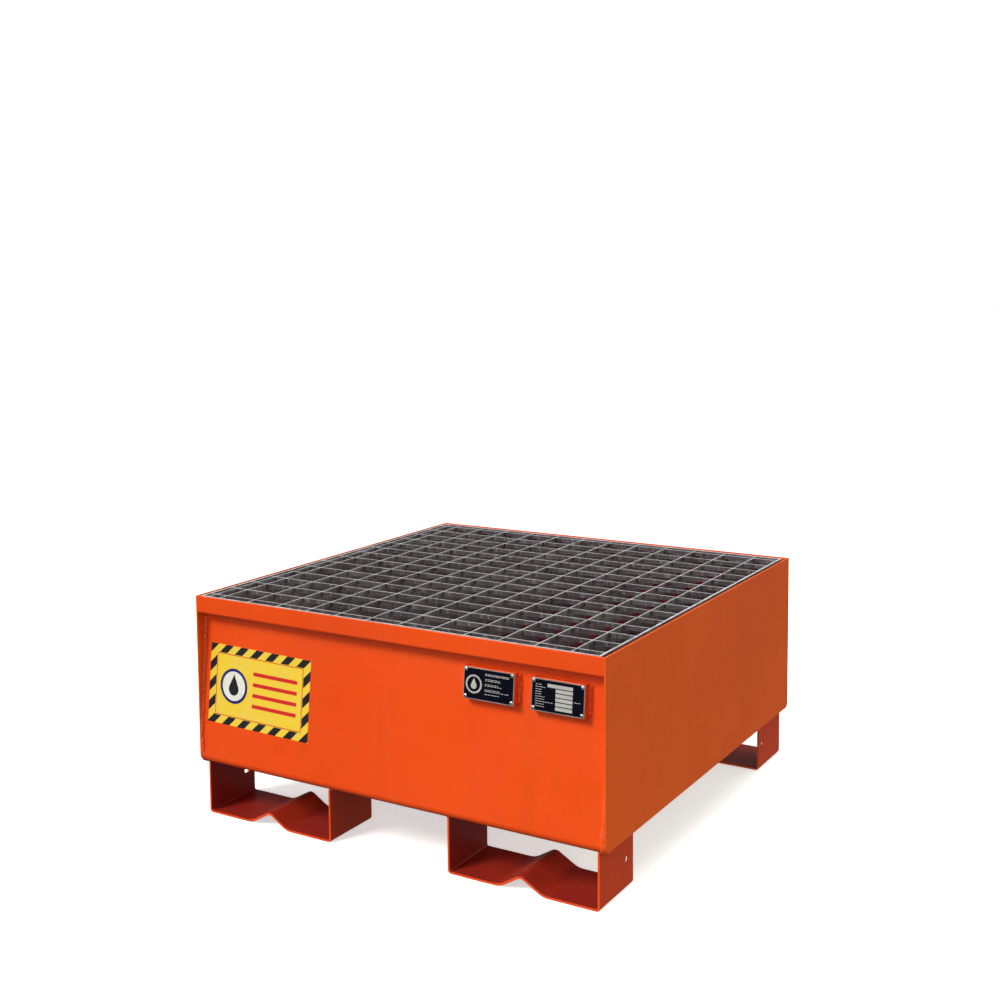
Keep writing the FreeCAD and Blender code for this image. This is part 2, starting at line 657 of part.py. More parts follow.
def cross_bar(number):
    """Shallow bar along X, lying in the slots of the bearing bars."""
    name = f"cross_bar_{number + 1:02d}"
    bar = make_box(name, INNER_LENGTH, "{cross_bar_thickness}", "{cross_bar_height}",
                   (f"{GRATING_LEFT} + {{frame_bar_thickness}}",
                    f"{cross_bar_y(str(number))} - {{cross_bar_thickness}} / 2",
                    "{overall_height} - {cross_bar_height}"))
    return sub_part(bar, name)


# ---- assembly and export --------------------------------------------------------------------


def build_tank():
    shell = tank_shell()
    plates = {side: side_plate(side) for side in (LEFT, RIGHT)}
    for end in (FRONT, REAR):
        rim_strip(end)
        beyond = beyond_rim(end)
        for side in (LEFT, RIGHT):
            foot(end, side)
            seam_weld(end, side, shell, plates[side], beyond)
    foot_weld_beads()
    for side in (LEFT, RIGHT):
        nameplate_bracket(side)
        nameplate(side)
        nameplate_rivets(side)
    bracket_weld_beads()
    safety_label()


def build_grating():
    for end in (FRONT, REAR):
        end_frame_bar(end)
    for side in (LEFT, RIGHT):
        side_frame_bar(side)
    for number in range(int(size("bearing_bar_count")) + 1):
        bearing_bar(number)
    for number in range(int(size("cross_bar_count"))):
        cross_bar(number)


def check_document():
    """Stop if any object failed or any piece has no valid solid."""
    for item in DOC.Objects:
        if "Invalid" in item.State or "Error" in item.State:
            raise RuntimeError(f"{item.Label} failed: {item.State}")
    for piece in SUB_PARTS:
        shape = piece.Shape
        if shape.isNull() or not shape.isValid() or not shape.Solids:
            raise RuntimeError(f"{piece.Label} has no valid solid")


def export_pieces():
    os.makedirs("parts", exist_ok=True)
    for piece in SUB_PARTS:
        box = piece.Shape.BoundBox
        piece.Shape.exportStep(os.path.join("parts", piece.Label + ".step"))
        print(f"{piece.Label:26s} solids {len(piece.Shape.Solids):2d} volume {piece.Shape.Volume:10.0f}"
              f"  x {box.XMin:7.1f} {box.XMax:7.1f}  y {box.YMin:7.1f} {box.YMax:7.1f}"
              f"  z {box.ZMin:6.1f} {box.ZMax:6.1f}")


build_tank()
build_grating()
DOC.recompute()
check_document()
export_pieces()
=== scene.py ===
import math

import bmesh
import bpy
from mathutils import Matrix, Vector, noise


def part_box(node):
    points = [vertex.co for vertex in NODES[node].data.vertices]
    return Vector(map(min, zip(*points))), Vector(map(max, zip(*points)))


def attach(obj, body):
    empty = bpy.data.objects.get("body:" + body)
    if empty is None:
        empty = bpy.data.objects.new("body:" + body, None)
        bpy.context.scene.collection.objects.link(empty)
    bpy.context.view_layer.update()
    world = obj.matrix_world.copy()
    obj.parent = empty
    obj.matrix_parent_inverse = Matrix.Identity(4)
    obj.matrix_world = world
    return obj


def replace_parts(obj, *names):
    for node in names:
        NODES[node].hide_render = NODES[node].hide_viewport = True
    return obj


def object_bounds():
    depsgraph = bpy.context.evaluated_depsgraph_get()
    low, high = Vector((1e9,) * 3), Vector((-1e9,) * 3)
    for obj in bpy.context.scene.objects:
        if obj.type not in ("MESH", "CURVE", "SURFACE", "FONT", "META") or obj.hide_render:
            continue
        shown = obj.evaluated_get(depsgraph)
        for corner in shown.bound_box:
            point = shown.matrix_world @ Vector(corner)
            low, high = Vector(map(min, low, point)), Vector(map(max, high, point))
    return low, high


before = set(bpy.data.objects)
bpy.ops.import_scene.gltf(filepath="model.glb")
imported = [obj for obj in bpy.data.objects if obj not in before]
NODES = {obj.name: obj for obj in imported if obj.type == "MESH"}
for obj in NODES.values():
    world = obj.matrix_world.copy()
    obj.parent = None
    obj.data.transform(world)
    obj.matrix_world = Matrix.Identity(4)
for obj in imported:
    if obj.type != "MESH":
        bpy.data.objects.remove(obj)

# Looks of the spill containment pallet: paint, zinc, weld beads, plain label and nameplates.
# Metres, +Z up, origin on the floor under the centre of the tank, the front faces -Y.

CAD_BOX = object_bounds()
SCENE = bpy.context.scene
MM = 0.001

# ---- faces of the frame ------------------------------------------------------------------------


class Face:
    """The outward front face of a flat CAD node: centre, right, up and outward, size."""

    def __init__(self, node):
        mesh = NODES[node].data
        corners = set()
        for polygon in mesh.polygons:
            if polygon.normal.y < -0.9:
                corners.update(polygon.vertices)
        points = [mesh.vertices[i].co for i in corners]
        low_left = min(points, key=lambda p: p.x + p.z)
        high_right = max(points, key=lambda p: p.x + p.z)
        low_right = max(points, key=lambda p: p.x - p.z)
        self.centre = (low_left + high_right) / 2
        across = low_right - low_left
        upwards = high_right - low_right
        self.width, self.height = across.length, upwards.length
        self.right = across.normalized()
        self.up = upwards.normalized()
        self.outward = self.right.cross(self.up)

    def at(self, x, y, height=0.0):
        """Point x right, y up and height outwards of the centre, in millimetres."""
        return self.centre + (self.right * x + self.up * y + self.outward * height) * MM


LABEL_FACE = Face("safety_label")
FILM_THICKNESS = 0.3


def wall_point(x, z):
    """Point of the front wall's outside face."""
    base = LABEL_FACE.centre - LABEL_FACE.outward * FILM_THICKNESS * MM
    slope = -LABEL_FACE.outward.z / LABEL_FACE.outward.y
    return Vector((x, base.y + (z - base.z) * slope, z))


def wall_outward():
    outward = LABEL_FACE.outward.copy()
    outward.x = 0.0
    return outward.normalized()


# ---- node materials ---------------------------------------------------------------------------


class Recipe:
    """A node material built step by step around one principled shader."""

    def __init__(self, name, **constants):
        self.material = bpy.data.materials.new(name)
        self.material.use_nodes = True
        self.tree = self.material.node_tree
        self.tree.nodes.clear()
        output = self.tree.nodes.new("ShaderNodeOutputMaterial")
        self.shader = self.tree.nodes.new("ShaderNodeBsdfPrincipled")
        self.join(self.shader.outputs["BSDF"], output.inputs["Surface"])
        coordinates = self.tree.nodes.new("ShaderNodeTexCoord")
        self.place = coordinates.outputs["Object"]
        self.facing = coordinates.outputs["Normal"]
        for socket, value in constants.items():
            self.shader.inputs[socket.replace("_", " ")].default_value = value

    def join(self, source, target):
        self.tree.links.new(source, target)

    def add(self, kind, inputs=None, **settings):
        """A node with its settings, and its inputs by name or number: a socket or a value."""
        node = self.tree.nodes.new("ShaderNode" + kind)
        for key, value in settings.items():
            setattr(node, key, value)
        for key, value in (inputs or {}).items():
            if isinstance(value, bpy.types.NodeSocket):
                self.join(value, node.inputs[key])
            else:
                node.inputs[key].default_value = value
        return node

    def scaled(self, scales):
        """Object coordinates stretched by a factor along each axis."""
        return self.add("Mapping", {"Vector": self.place, "Scale": scales}).outputs["Vector"]

    def noise(self, scale, detail=3.0, roughness=0.55, place=None):
        inputs = {"Vector": place or self.place, "Scale": scale, "Detail": detail,
                  "Roughness": roughness}
        return self.add("TexNoise", inputs).outputs["Fac"]

    def spread(self, value, low, high, to_low=0.0, to_high=1.0):
        """The value mapped from one range to another and held inside it."""
        inputs = {"Value": value, "From Min": low, "From Max": high,
                  "To Min": to_low, "To Max": to_high}
        return self.add("MapRange", inputs, clamp=True).outputs["Result"]

    def math(self, operation, first, second=0.0):
        return self.add("Math", {0: first, 1: second}, operation=operation).outputs[0]

    def mix(self, share, first, second):
        """Colour mixed from two others, each a socket or an (r, g, b)."""
        node = self.add("Mix", data_type="RGBA")
        colours = [socket for socket in node.inputs if socket.type == "RGBA"]
        for socket, value in ((node.inputs[0], share), (colours[0], first), (colours[1], second)):
            if isinstance(value, bpy.types.NodeSocket):
                self.join(value, socket)
            elif isinstance(value, tuple):
                socket.default_value = (*value, 1.0)
            else:
                socket.default_value = value
        return next(socket for socket in node.outputs if socket.type == "RGBA")

    def upward(self):
        """1 on faces that look up, 0 on the others."""
        return self.spread(self.add("SeparateXYZ", {0: self.facing}).outputs["Z"], 0.6, 0.9)

    def edges(self, radius):
        """1 along sharp outer edges, 0 on flat faces."""
        soft = self.add("Bevel", {"Radius": radius}, samples=4).outputs["Normal"]
        hard = self.add("NewGeometry").outputs["Normal"]
        product = self.add("VectorMath", {0: soft, 1: hard}, operation="DOT_PRODUCT")
        alike = product.outputs["Value"]
        return self.spread(alike, 0.75, 1.0, 1.0, 0.0)

    def bump(self, *layers):
        """Height layers, each (height socket, depth in metres), stacked on the shader's normal."""
        normal = None
        for height, depth in layers:
            inputs = {"Height": height, "Distance": depth, "Strength": 1.0}
            if normal:
                inputs["Normal"] = normal
            normal = self.add("Bump", inputs).outputs["Normal"]
        self.join(normal, self.shader.inputs["Normal"])

    def finish(self, colour, roughness):
        self.join(colour, self.shader.inputs["Base Color"])
        self.join(roughness, self.shader.inputs["Roughness"])
        return self.material


FLOOR_BEND = 15.0 * MM
SOLE_TOP = 0.035
HALF_STRIP = 2.0 * MM


# Mask of painted shade: the faces inside the tank are painted darker in place of shade.
def tank_inside_shade(r):
    """1 on the faces that look into the tank, 0 on its outer faces, split in the sheet's middle."""
    low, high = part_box("tank_shell")
    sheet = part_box("side_plate_right")[1].x - high.x
    foot, head = wall_point(0.0, low.z), wall_point(0.0, high.z)
    slope = (foot.y - head.y) / (low.z - high.z)
    axes = r.add("SeparateXYZ", {0: r.place}).outputs
    across = r.math("ABSOLUTE", axes["Y"])
    # The wall, the floor and a plane at 45 degrees between them follow the middle of the bend.
    wall = r.math("ADD", across, r.math("MULTIPLY", axes["Z"], slope))
    bend = r.math("SUBTRACT", across, axes["Z"])
    bend_centre = high.y - low.z - 2 * FLOOR_BEND
    ledge_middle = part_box("grating_frame_front")[0].z - sheet / 2
    tests = [("LESS_THAN", wall, -foot.y + slope * low.z - sheet / 2),
             ("LESS_THAN", bend, bend_centre + math.sqrt(2) * (FLOOR_BEND - sheet / 2)),
             ("LESS_THAN", r.math("ABSOLUTE", axes["X"]), high.x + sheet / 2),
             ("GREATER_THAN", axes["Z"], low.z + sheet / 2),
             ("LESS_THAN", axes["Z"], ledge_middle)]
    inside = 1.0
    for operation, value, limit in tests:
        inside = r.math("MULTIPLY", r.math(operation, value, limit), inside)
    return inside


def foot_painted_shade(r):
    """Share of painted shade on a foot: full on the legs from within, less on the soles and
    outsides.
    """
    low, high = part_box("foot_front_right")
    middle, half = (low.x + high.x) / 2, (high.x - low.x) / 2
    axes = r.add("SeparateXYZ", {0: r.place}).outputs
    facing = r.add("SeparateXYZ", {0: r.facing}).outputs
    across = r.math("SUBTRACT", r.math("ABSOLUTE", axes["X"]), middle)
    within = r.math("LESS_THAN", r.math("ABSOLUTE", across), half - HALF_STRIP)
    sideways = r.math("GREATER_THAN", r.math("ABSOLUTE", facing["X"]), 0.7)
    legs = r.math("MULTIPLY", sideways, r.spread(within, 0.0, 1.0, 0.35, 0.90))
    soles = r.math("MULTIPLY", r.upward(), r.math("LESS_THAN", axes["Z"], SOLE_TOP))
    return r.math("MAXIMUM", legs, r.math("MULTIPLY", soles, 0.85))


# The default shade colour is the painted shade of the feet.
def paint(name, deep, light, grime=0.10, peel=1.0, shade_share=None, shade_colour=(0.155, 0.004, 0.014)):
    """Sprayed paint on sheet steel: cloudy colour, faint runs, orange peel, thin worn edges with a
    painted highlight.

    stained gives the share of painted shade on each face; stain is the colour of that shade.
    """
    r = Recipe(name, Coat_Weight=0.25, Coat_Roughness=0.22, Specular_IOR_Level=0.45)
    cloud = r.spread(r.noise(2.6, 4.0), 0.35, 0.65)
    colour = r.mix(cloud, deep, light)
    mottle = r.spread(r.noise(38.0, 6.0, 0.65), 0.30, 0.70, 0.0, 0.10)
    colour = r.mix(mottle, colour, tuple(0.72 * c for c in deep))
    runs = r.spread(r.noise(1.0, 5.0, 0.6, r.scaled((26.0, 26.0, 1.8))), 0.52, 0.80, 0.0, grime)
    colour = r.mix(runs, colour, (0.16, 0.035, 0.02))
    # Brighter orange along the edges: partly wear, partly a painted highlight.
    edge_wear_and_highlight = r.math("MULTIPLY", r.edges(1.6 * MM), r.spread(r.noise(60.0, 5.0, 0.7), 0.42, 0.62))
    # Painted shade: the faces that the given function picks are darkened towards the shade colour.
    if shade_share:
        share = shade_share(r)
        patchy = r.spread(r.noise(12.0, 6.0, 0.62), 0.30, 0.70, 0.84, 0.98)
        colour = r.mix(r.math("MULTIPLY", share, patchy), colour, shade_colour)
        edge_wear_and_highlight = r.math("MULTIPLY", edge_wear_and_highlight, r.math("SUBTRACT", 1.0, share))
    colour = r.mix(r.math("MULTIPLY", edge_wear_and_highlight, 0.55), colour, (1.0, 0.20, 0.05))
    rough = r.spread(r.noise(9.0, 5.0, 0.6), 0.30, 0.70, 0.30, 0.46)
    r.bump((r.noise(4.5, 2.0), 3.0 * MM), (r.noise(420.0, 2.0), 0.035 * MM * peel))
    return r.finish(colour, rough)


def zinc(name, dull, bright):
    """Hot-dip zinc: spangle, sides in painted shade with runs, tops in painted light, brighter
    rubbed edges.
    """
    r = Recipe(name, Metallic=0.25, Specular_IOR_Level=0.45)
    crystal = r.add("TexVoronoi", {"Vector": r.place, "Scale": 110.0}).outputs["Color"]
    crystal = r.add("RGBToBW", {0: crystal}).outputs[0]
    cloud = r.noise(14.0, 5.0, 0.6)
    side = r.mix(r.spread(cloud, 0.32, 0.68), dull, bright)
    runs = r.noise(1.0, 6.0, 0.65, r.scaled((120.0, 120.0, 16.0)))
    side = r.mix(r.spread(runs, 0.52, 0.78, 0.0, 0.6), side, (0.36, 0.36, 0.37))
    top = r.mix(r.spread(crystal, 0.2, 0.8), (0.37, 0.40, 0.42), (0.57, 0.62, 0.65))
    # Tops lighter than the sides: painted light on the tops, painted shade on the sides.
    colour = r.mix(r.upward(), side, top)
    rubbed = r.math("MULTIPLY", r.edges(1.2 * MM), r.spread(cloud, 0.30, 0.60, 0.30, 0.80))
    colour = r.mix(rubbed, colour, (0.60, 0.65, 0.68))
    rough = r.spread(crystal, 0.1, 0.9, 0.42, 0.62)
    r.bump((r.noise(220.0, 4.0, 0.6), 0.12 * MM), (crystal, 0.03 * MM))
    return r.finish(colour, rough)


def aluminium(name, tone, brushed=True, metallic=0.85):
    """Bare aluminium with fine lines along X, small scratches and dull patches."""
    r = Recipe(name, Metallic=metallic)
    stretch = (18.0, 700.0, 700.0) if brushed else (320.0, 320.0, 320.0)
    lines = r.noise(1.0, 4.0, 0.6, r.scaled(stretch))
    patches = r.spread(r.noise(70.0, 4.0), 0.35, 0.65)
    colour = r.mix(patches, tuple(0.82 * c for c in tone), tone)
    colour = r.mix(r.spread(lines, 0.35, 0.65, 0.0, 0.35), colour, (0.62, 0.63, 0.63))
    rough = r.spread(lines, 0.3, 0.7, 0.30, 0.48)
    r.bump((lines, 0.02 * MM))
    return r.finish(colour, rough)


def ink(name, colour, gloss=0.42, wear=0.12, shine=0.4):
    """Printed colour: slightly uneven density, pale rubbed specks, faint grain."""
    r = Recipe(name, Specular_IOR_Level=shine)
    density = r.spread(r.noise(90.0, 5.0, 0.6), 0.30, 0.70)
    tone = r.mix(density, tuple(0.86 * c for c in colour), colour)
    specks = r.spread(r.noise(900.0, 3.0, 0.7), 0.68, 0.80, 0.0, wear)
    tone = r.mix(specks, tone, (0.62, 0.60, 0.55))
    rough = r.spread(r.noise(40.0, 4.0), 0.3, 0.7, gloss - 0.07, gloss + 0.07)
    r.bump((r.noise(600.0, 2.0), 0.01 * MM))
    return r.finish(tone, rough)


def film(name, colour):
    """Self-adhesive film: glossy, faintly wrinkled, dulled by dust in large patches."""
    r = Recipe(name, Coat_Weight=0.35, Coat_Roughness=0.15, Specular_IOR_Level=0.5)
    dust = r.spread(r.noise(22.0, 5.0, 0.6), 0.40, 0.75, 0.0, 0.22)
    tone = r.mix(dust, colour, (0.66, 0.52, 0.22))
    rough = r.spread(dust, 0.0, 0.22, 0.28, 0.44)
    r.bump((r.noise(30.0, 2.0), 0.25 * MM), (r.noise(520.0, 2.0), 0.01 * MM))
    return r.finish(tone, rough)


def floor_finish(name):
    """Plain pale studio floor with barely visible cloudiness."""
    r = Recipe(name, Specular_IOR_Level=0.2, Emission_Color=(1.0, 1.0, 1.0, 1.0),
               Emission_Strength=0.55)
    cloud = r.spread(r.noise(1.5, 3.0), 0.3, 0.7)
    colour = r.mix(cloud, (0.80, 0.80, 0.82), (0.83, 0.83, 0.845))
    return r.finish(colour, r.spread(cloud, 0.0, 1.0, 0.55, 0.65))


DEEP_ORANGE, LIGHT_ORANGE = (0.78, 0.064, 0.002), (0.86, 0.078, 0.003)
# Dark colour painted inside the tank and side plates as shade, not the paint's own colour.
TANK_SHADE_COLOUR = (0.045, 0.001, 0.013)
PAINT = paint("orange_paint_finish", DEEP_ORANGE, LIGHT_ORANGE)
TANK_SHADED_PAINT = paint("tank_shaded_paint", DEEP_ORANGE, LIGHT_ORANGE, shade_share=tank_inside_shade,
                   shade_colour=TANK_SHADE_COLOUR)
# Side plates: same orange made greener as a painted light tint, with painted shade inside.
SIDE_TINTED_SHADED_PAINT = paint("side_tinted_shaded_paint", (0.76, 0.094, 0.002), (0.84, 0.110, 0.003),
                   shade_share=tank_inside_shade, shade_colour=TANK_SHADE_COLOUR)
# Feet: legs and soles painted darker as shade, in the default shade colour of paint().
FOOT_SHADED_PAINT = paint("foot_shaded_paint", DEEP_ORANGE, LIGHT_ORANGE, shade_share=foot_painted_shade)
WELD_PAINT = paint("weld_paint_finish", (0.70, 0.050, 0.004), (0.90, 0.090, 0.010), 0.30, 3.0)
# The zinc side colours are dark as painted shade.
ZINC = zinc("zinc_finish", (0.078, 0.052, 0.078), (0.180, 0.158, 0.205))
# Cross bars: a darker copy of the same zinc, as painted shade.
CROSS_BAR_SHADED_ZINC = zinc("cross_bar_shaded_zinc", (0.045, 0.028, 0.038), (0.105, 0.085, 0.100))
PLATE = aluminium("nameplate_finish", (0.50, 0.51, 0.51))
RIVET = aluminium("rivet_finish", (0.36, 0.36, 0.35), brushed=False)
FILM = film("label_yellow_film", (0.86, 0.60, 0.045))
BLACK = ink("black_ink", (0.010, 0.011, 0.018))
RED = ink("red_ink", (0.66, 0.018, 0.022))
BLUE = ink("blue_ink", (0.014, 0.016, 0.155))
WHITE = ink("white_ink", (0.80, 0.79, 0.76), wear=0.05)
PLATE_BLACK = ink("nameplate_black", (0.003, 0.003, 0.010), gloss=0.30, wear=0.03,
                  shine=0.12)
PLATE_SILVER = aluminium("nameplate_print", (0.66, 0.66, 0.65), metallic=0.4)

# ---- finishes and softened edges of the CAD nodes ----------------------------------------------

FINISHES = {
    "side_plate": SIDE_TINTED_SHADED_PAINT, "foot_front": FOOT_SHADED_PAINT, "foot_rear": FOOT_SHADED_PAINT,
    "nameplate_bracket": PAINT, "nameplate_rivets": RIVET, "nameplate_left": PLATE,
    "nameplate_right": PLATE, "safety_label": FILM, "grating_frame": ZINC, "bearing_bar": ZINC,
    "cross_bar": CROSS_BAR_SHADED_ZINC,
}
PAINTED_EDGE, ZINC_EDGE = 0.5 * MM, 0.35 * MM
SAME_PLACE = 0.01 * MM
EDGE_WIDTHS = {PAINT: PAINTED_EDGE, SIDE_TINTED_SHADED_PAINT: PAINTED_EDGE, FOOT_SHADED_PAINT: PAINTED_EDGE,
               ZINC: ZINC_EDGE, CROSS_BAR_SHADED_ZINC: ZINC_EDGE}


def soften(piece, width):
    """Round the sharp edges of a piece by modifiers."""
    weld = piece.modifiers.new("join_faces", "WELD")
    weld.merge_threshold = SAME_PLACE
    bevel = piece.modifiers.new("soft_edges", "BEVEL")
    bevel.width = width
    bevel.segments = 2
    bevel.limit_method = "ANGLE"
    bevel.angle_limit = math.radians(50)
    bevel.use_clamp_overlap = True


def dress(node, finish):
    """Give a CAD node its material and soft edges."""
    piece = NODES[node]
    for material_slot in piece.material_slots:
        material_slot.material = finish
    width = EDGE_WIDTHS.get(finish)
    if width:
        soften(piece, width)


def dress_all():
    for node in NODES:
        prefix = next((name for name in FINISHES if node.startswith(name)), None)
        if prefix:
            dress(node, FINISHES[prefix])


# ---- flat print on a sloping face ---------------------------------------------------------------

# Heights above the printed face, in millimetres.
INK_TOP = 0.06
SECOND_INK_TOP = 0.09


class Print:
    """Thin closed layers of one ink on a face, gathered into one mesh."""

    def __init__(self, name, face, finish, slot):
        self.name, self.face, self.finish, self.slot = name, face, finish, slot
        self.points, self.faces = [], []

    def loop(self, outline, height):
        start = len(self.points)
        self.points += [self.face.at(x, y, height) for x, y in outline]
        return list(range(start, len(self.points)))

    def shape(self, outline, low=0.0, high=INK_TOP):
        """Prism over an outline that runs anticlockwise."""
        bottom, top = self.loop(outline, low), self.loop(outline, high)
        self.faces += [top, bottom[::-1]]
        self.walls(bottom, top)

    def walls(self, bottom, top):
        for i in range(len(bottom)):
            j = (i + 1) % len(bottom)
            self.faces.append([bottom[i], bottom[j], top[j], top[i]])

    def ring(self, centre, inner, outer, low=0.0, high=INK_TOP):
        """Flat ring."""
        outer_low = self.loop(circle(centre, outer), low)
        outer_high = self.loop(circle(centre, outer), high)
        inner_low = self.loop(circle(centre, inner), low)
        inner_high = self.loop(circle(centre, inner), high)
        self.walls(outer_low, outer_high)
        self.walls(inner_high, inner_low)
        self.walls(outer_high, inner_high)
        self.walls(inner_low, outer_low)

    def bar(self, centre, width, height, low=0.0, high=INK_TOP, turn=0.0):
        """Rectangle about its centre, turned by an angle in degrees."""
        c, s = math.cos(math.radians(turn)), math.sin(math.radians(turn))
        corners = [(-width / 2, -height / 2), (width / 2, -height / 2), (width / 2, height / 2),
                   (-width / 2, height / 2)]
        self.shape([(centre[0] + c * x - s * y, centre[1] + s * x + c * y) for x, y in corners],
                   low, high)

    def build(self):
        mesh = bpy.data.meshes.new(self.name)
        mesh.from_pydata(self.points, [], self.faces)
        mesh.update()
        place_piece(self.name, mesh, self.finish, self.slot, "tank")


def place_piece(name, mesh, finish, slot, body):
    """Link a mesh as a piece that rides on a body."""
    mesh.validate()
    mesh.materials.append(finish)
    piece = bpy.data.objects.new(name, mesh)
    SCENE.collection.objects.link(piece)
    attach(piece, body)
    return piece


def build_tank_sheet():
    """The folded sheet in one piece: the shell and both rim strips without the faces between."""
    joined = bmesh.new()
    parts = ("tank_shell", "rim_front", "rim_rear")
    for node in parts:
        joined.from_mesh(NODES[node].data)
    bmesh.ops.remove_doubles(joined, verts=joined.verts, dist=SAME_PLACE)
    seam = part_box("rim_front")[0].z
    between = [face for face in joined.faces
               if all(abs(vertex.co.z - seam) < SAME_PLACE for vertex in face.verts)]
    bmesh.ops.delete(joined, geom=between, context="FACES")
    bmesh.ops.dissolve_limit(joined, angle_limit=math.radians(0.5), verts=joined.verts,
                             edges=joined.edges)
    mesh = bpy.data.meshes.new("tank_sheet")
    joined.to_mesh(mesh)
    joined.free()
    mesh.shade_smooth()
    mesh.set_sharp_from_angle(angle=math.radians(30))
    piece = place_piece("tank_sheet", mesh, TANK_SHADED_PAINT, "orange_paint", "tank")
    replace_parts(piece, *parts)
    soften(piece, PAINTED_EDGE)


def circle(centre, radius, count=40):
    return [(centre[0] + radius * math.cos(2 * math.pi * i / count),
             centre[1] + radius * math.sin(2 * math.pi * i / count)) for i in range(count)]


def clip(outline, axis, limit, side):
    """The part of a convex outline where side * (coordinate - limit) is not above zero."""
    kept = []
    for i, point in enumerate(outline):
        following = outline[(i + 1) % len(outline)]
        a = side * (point[axis] - limit)
        b = side * (following[axis] - limit)
        if a <= 0:
            kept.append(point)
        if a * b < 0:
            t = a / (a - b)
            kept.append(tuple(p + t * (q - p) for p, q in zip(point, following)))
    return kept


def clip_to_box(outline, low, high):
    for axis in (0, 1):
        outline = clip(outline, axis, high[axis], 1)
        if outline:
            outline = clip(outline, axis, low[axis], -1)
        if not outline:
            return []
    return outline


# ---- label, in millimetres from its centre -----------------------------------------------------

BORDER = 15.5
STRIPE_COUNT = 6.5
EMBLEM = (-60.0, 0.0)
EMBLEM_RADIUS = 33.0
EMBLEM_LINE = 5.5
DROP_RADIUS, DROP_TIP, DROP_SHIFT = 12.0, 28.0, 5.6
BAR_MIDDLE = 38.0
BAR_WIDTH = 104.0
BAR_HEIGHT = 7.0
BAR_ROWS = (30.0, 10.0, -10.0, -30.0)


def border_stripes(label, face):
    """Black stripes leaning to the right, cut to the border of the label."""
    half_w, half_h = face.width / MM / 2, face.height / MM / 2
    period = 2 * half_w / STRIPE_COUNT
    bands = [((-half_w, half_h - BORDER), (half_w, half_h)),
             ((-half_w, -half_h), (half_w, -half_h + BORDER)),
             ((-half_w, -half_h + BORDER), (-half_w + BORDER, half_h - BORDER)),
             ((half_w - BORDER, -half_h + BORDER), (half_w, half_h - BORDER))]
    first = -half_w - half_h
    for number in range(int((2 * half_w + 2 * half_h) / period) + 2):
        # A stripe is the strip where x - y lies between start and start + period / 2.
        start = first + number * period
        end = start + period / 2
        outline = [(start - half_h, -half_h), (end - half_h, -half_h),
                   (end + half_h, half_h), (start + half_h, half_h)]
        for low, high in bands:
            piece = clip_to_box(outline, low, high)
            if len(piece) > 2:
                label.shape(piece)


def inner_frame(label, face):
    """Thin line just inside the striped border."""
    w, h = face.width / MM - 2 * BORDER, face.height / MM - 2 * BORDER
    line = 1.5
    for side in (-1, 1):
        label.bar((0, side * (h / 2 - line)), w - 2 * line, line)
        label.bar((side * (w / 2 - line), 0), line, h - 3 * line)


def drop_outline(centre, radius, tip):
    """Falling drop: round below, drawn up to a point."""
    arc = [(centre[0] + radius * math.cos(math.radians(a)),
            centre[1] + radius * math.sin(math.radians(a))) for a in range(-210, 31, 12)]
    return arc + [(centre[0], centre[1] + tip)]


def build_label():
    """A drop in a ring at the left and four equal bars at the right, in a striped border."""
    face = Face("safety_label")
    black, red, blue, white = (
        Print("label_" + name, face, finish, "label_film")
        for name, finish in (("black", BLACK), ("red", RED), ("blue", BLUE), ("white", WHITE)))
    border_stripes(black, face)
    inner_frame(red, face)
    blue.ring(EMBLEM, EMBLEM_RADIUS - EMBLEM_LINE, EMBLEM_RADIUS)
    white.shape(circle(EMBLEM, EMBLEM_RADIUS - EMBLEM_LINE))
    black.shape(drop_outline((EMBLEM[0], EMBLEM[1] - DROP_SHIFT), DROP_RADIUS, DROP_TIP),
                INK_TOP, SECOND_INK_TOP)
    for y in BAR_ROWS:
        red.bar((BAR_MIDDLE, y), BAR_WIDTH, BAR_HEIGHT)
    for layer in (black, red, blue, white):
        layer.build()


# ---- nameplates --------------------------------------------------------------------------------

PLATE_BORDER = 1.5
FIELD_HIGH = 0.05
PRINT_HIGH = 0.09
PLATE_EMBLEM = (-28.5, -1.0)
# Level, width and height of each line of small print on the left nameplate.
LEFT_ROWS = ((18.4, 46, 1.1), (16.4, 46, 1.1), (10.0, 28, 1.0), (7.6, 32, 1.0), (1.6, 26, 1.0),
             (-0.8, 32, 1.0), (-7.4, 30, 1.0), (-9.8, 46, 1.0), (-15.0, 28, 1.0))


def text_row(layer, left, y, width, height):
    """Short bars of uneven length side by side, in place of a line of small print."""
    x = left
    while x < left + width - 1.5:
        length = min(3.2 + 3.0 * noise.random(), left + width - x)
        layer.bar((x + length / 2, y), length, height, FIELD_HIGH, PRINT_HIGH)
        x += length + 1.1


def plate_layers(side):
    face = Face("nameplate_" + side)
    black = Print(f"nameplate_field_{side}", face, PLATE_BLACK, "nameplate_aluminium")
    silver = Print(f"nameplate_print_{side}", face, PLATE_SILVER, "nameplate_aluminium")
    black.bar((0, 0), face.width / MM - 2 * PLATE_BORDER, face.height / MM - 2 * PLATE_BORDER,
              0.0, FIELD_HIGH)
    return black, silver


def build_left_plate():
    """A plain drop in a ring at the left, rows of small print at the right."""
    black, silver = plate_layers("left")
    silver.ring(PLATE_EMBLEM, 12.6, 15.6, FIELD_HIGH, PRINT_HIGH)
    drop = drop_outline((PLATE_EMBLEM[0], PLATE_EMBLEM[1] - 2.6), 5.6, 13.0)
    silver.shape(drop, FIELD_HIGH, PRINT_HIGH)
    noise.seed_set(11)
    for y, width, height in LEFT_ROWS:
        text_row(silver, -7.0, y, width, height)
    black.build()
    silver.build()


